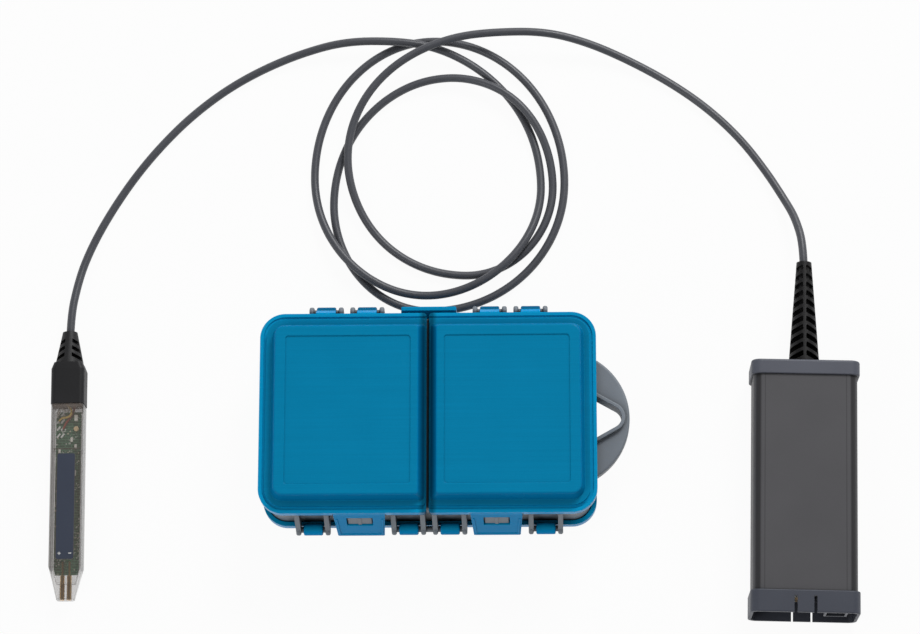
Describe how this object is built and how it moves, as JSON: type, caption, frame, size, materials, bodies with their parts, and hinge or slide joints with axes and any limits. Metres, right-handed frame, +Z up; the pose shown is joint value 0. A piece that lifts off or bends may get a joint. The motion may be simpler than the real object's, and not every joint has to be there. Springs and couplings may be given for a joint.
{
  "type": "test probe set",
  "caption": "Bench test probe set: slim clear probe head on a looped cable, push-on interface pod, and a blue and grey accessory case with hinged lids and latches.",
  "frame": {"origin": "on the bench under the middle of the case, on the underside of its bottom lid", "axes": "+X to the right along the case, +Y to the back of the case, +Z up"},
  "size_m": [0.2956, 0.2258, 0.038],
  "materials": {
    "lid_blue": "translucent moulded plastic, satin",
    "case_grey": "fine moulded grain",
    "casing_clear": "smoky clear plastic",
    "board_green": "solder mask",
    "label_navy": "printed film, bare",
    "contact_gold": "gold plated",
    "chip_black": "moulded epoxy",
    "chip_pale": "ceramic chips",
    "wire_skin": "wire insulation",
    "boot_black": "moulded rubber",
    "cable_grey": "satin cable jacket",
    "sleeve_grey": "fine matte texture",
    "cap_slate": "fine matte texture",
    "plug_nickel": "nickel plate",
    "insulator_white": "white insulator",
    "screw_steel": "zinc plated"
  },
  "bodies": {
    "root": {"case_body": "case_grey", "carry_handle": "case_grey", "head_shell_top": "casing_clear", "head_shell_bottom": "casing_clear", "head_board": "board_green", "pod_board": "board_green", "head_label": "label_navy", "tip_sockets": "contact_gold", "head_terminal": "contact_gold", "plug_pin": "contact_gold", "head_amplifier": "chip_black", "pod_chips": "chip_black", "contact_block": "chip_black", "head_components": "chip_pale", "head_wires": "wire_skin", "head_boot": "boot_black", "pod_strain_relief": "boot_black", "cable_head_lead": "cable_grey", "cable_coil": "cable_grey", "cable_pod_lead": "cable_grey", "pod_sleeve": "sleeve_grey", "pod_rear_cap": "cap_slate", "pod_front_cap": "cap_slate", "pod_connector_plate": "cap_slate", "plug_shell": "plug_nickel", "plug_insulator": "insulator_white", "pod_screws": "screw_steel"},
    "left_lid": {"left_lid": "lid_blue"},
    "right_lid": {"right_lid": "lid_blue"},
    "bottom_lid": {"bottom_lid": "lid_blue"},
    "left_latch": {"left_latch": "lid_blue"},
    "right_latch": {"right_latch": "lid_blue"},
    "bottom_latch": {"bottom_latch": "lid_blue"},
    "contact_pins": {"contact_pins": "contact_gold"}
  },
  "joints": [
    {"name": "left_lid_hinge", "type": "hinge", "parent": "root", "child": "left_lid", "pos_m": [-0.0296, 0.0385, 0.0264], "axis": [-1, 0, 0], "range_deg": [0, 110]},
    {"name": "right_lid_hinge", "type": "hinge", "parent": "root", "child": "right_lid", "pos_m": [0.0296, 0.0385, 0.0264], "axis": [-1, 0, 0], "range_deg": [0, 110]},
    {"name": "bottom_lid_hinge", "type": "hinge", "parent": "root", "child": "bottom_lid", "pos_m": [0, -0.0385, 0.0116], "axis": [-1, 0, 0], "range_deg": [0, 110]},
    {"name": "left_latch_pivot", "type": "hinge", "parent": "left_lid", "child": "left_latch", "pos_m": [-0.0245, -0.0359, 0.0297], "axis": [-1, 0, 0], "range_deg": [0, 20], "stiffness_Nm_per_rad": 0.02},
    {"name": "right_latch_pivot", "type": "hinge", "parent": "right_lid", "child": "right_latch", "pos_m": [0.0245, -0.0359, 0.0297], "axis": [-1, 0, 0], "range_deg": [0, 20], "stiffness_Nm_per_rad": 0.02},
    {"name": "bottom_latch_pivot", "type": "hinge", "parent": "bottom_lid", "child": "bottom_latch", "pos_m": [0, 0.0359, 0.0083], "axis": [-1, 0, 0], "range_deg": [0, 20], "stiffness_Nm_per_rad": 0.02},
    {"name": "contact_pins_slide", "type": "slide", "parent": "root", "child": "contact_pins", "axis": [0.0279, 0.9996, 0], "range_m": [0, 0.0012], "stiffness_N_per_m": 1200}
  ]
}
